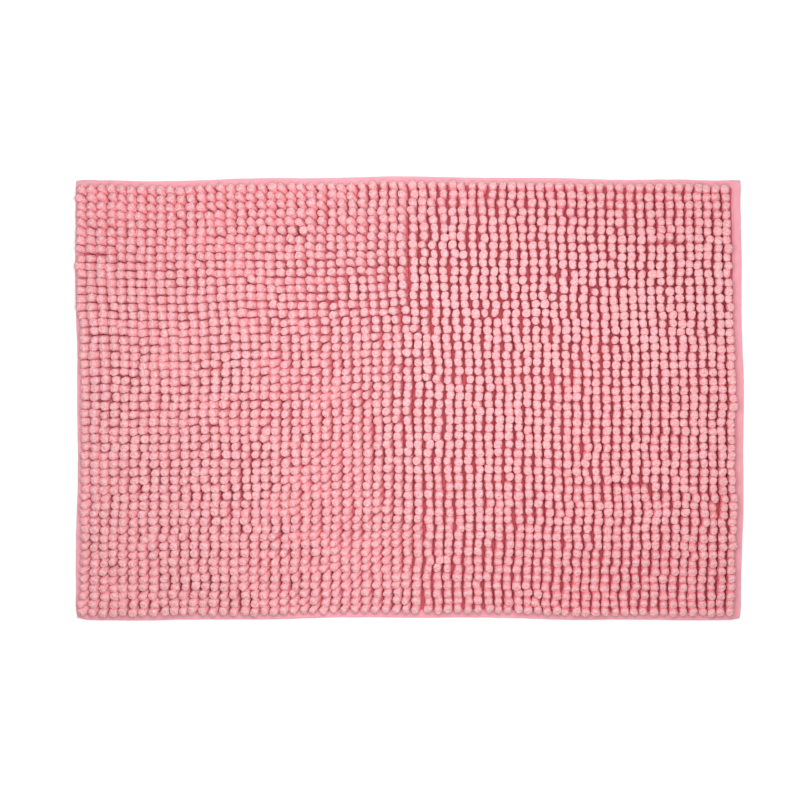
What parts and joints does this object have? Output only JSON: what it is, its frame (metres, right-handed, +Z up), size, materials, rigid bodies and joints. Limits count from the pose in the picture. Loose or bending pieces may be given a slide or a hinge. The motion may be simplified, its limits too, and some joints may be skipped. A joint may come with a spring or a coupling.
{
  "type": "bath mat",
  "caption": "Rectangular chenille noodle bath mat with a deep bobbly pile, tape-bound edges and an anti-slip underside.",
  "frame": {"origin": "under the middle of the mat, on the flat face that it rests on", "axes": "+X along the long side, +Y along the short side from the front edge to the back edge, +Z up out of the pile"},
  "size_m": [0.762, 0.504, 0.018],
  "materials": {
    "chenille_pile": "matte",
    "base_cloth": "matte",
    "binding_tape": "matte",
    "sewing_thread": "satin",
    "anti_slip_backing": "matte"
  },
  "bodies": {
    "root": {"base_cloth": "base_cloth", "anti_slip_backing": "anti_slip_backing", "pile_lock_threads": "sewing_thread", "binding_front": "binding_tape", "binding_back": "binding_tape", "binding_left": "binding_tape", "binding_right": "binding_tape", "seam_front": "sewing_thread", "seam_back": "sewing_thread", "seam_left": "sewing_thread", "seam_right": "sewing_thread", "pile_strands_01": "chenille_pile", "pile_strands_02": "chenille_pile", "pile_strands_03": "chenille_pile", "pile_strands_04": "chenille_pile", "pile_strands_05": "chenille_pile", "pile_strands_06": "chenille_pile", "pile_strands_07": "chenille_pile", "pile_strands_08": "chenille_pile", "pile_strands_09": "chenille_pile", "pile_strands_10": "chenille_pile", "pile_strands_11": "chenille_pile", "pile_strands_12": "chenille_pile", "pile_strands_13": "chenille_pile", "pile_strands_14": "chenille_pile", "pile_strands_15": "chenille_pile", "pile_strands_16": "chenille_pile", "pile_strands_17": "chenille_pile", "pile_strands_18": "chenille_pile", "pile_strands_19": "chenille_pile", "pile_strands_20": "chenille_pile", "pile_strands_21": "chenille_pile", "pile_strands_22": "chenille_pile", "pile_strands_23": "chenille_pile", "pile_strands_24": "chenille_pile", "pile_strands_25": "chenille_pile", "pile_strands_26": "chenille_pile", "pile_strands_27": "chenille_pile", "pile_strands_28": "chenille_pile", "pile_strands_29": "chenille_pile", "pile_strands_30": "chenille_pile", "pile_strands_31": "chenille_pile", "pile_strands_32": "chenille_pile", "pile_strands_33": "chenille_pile"}
  },
  "joints": []
}
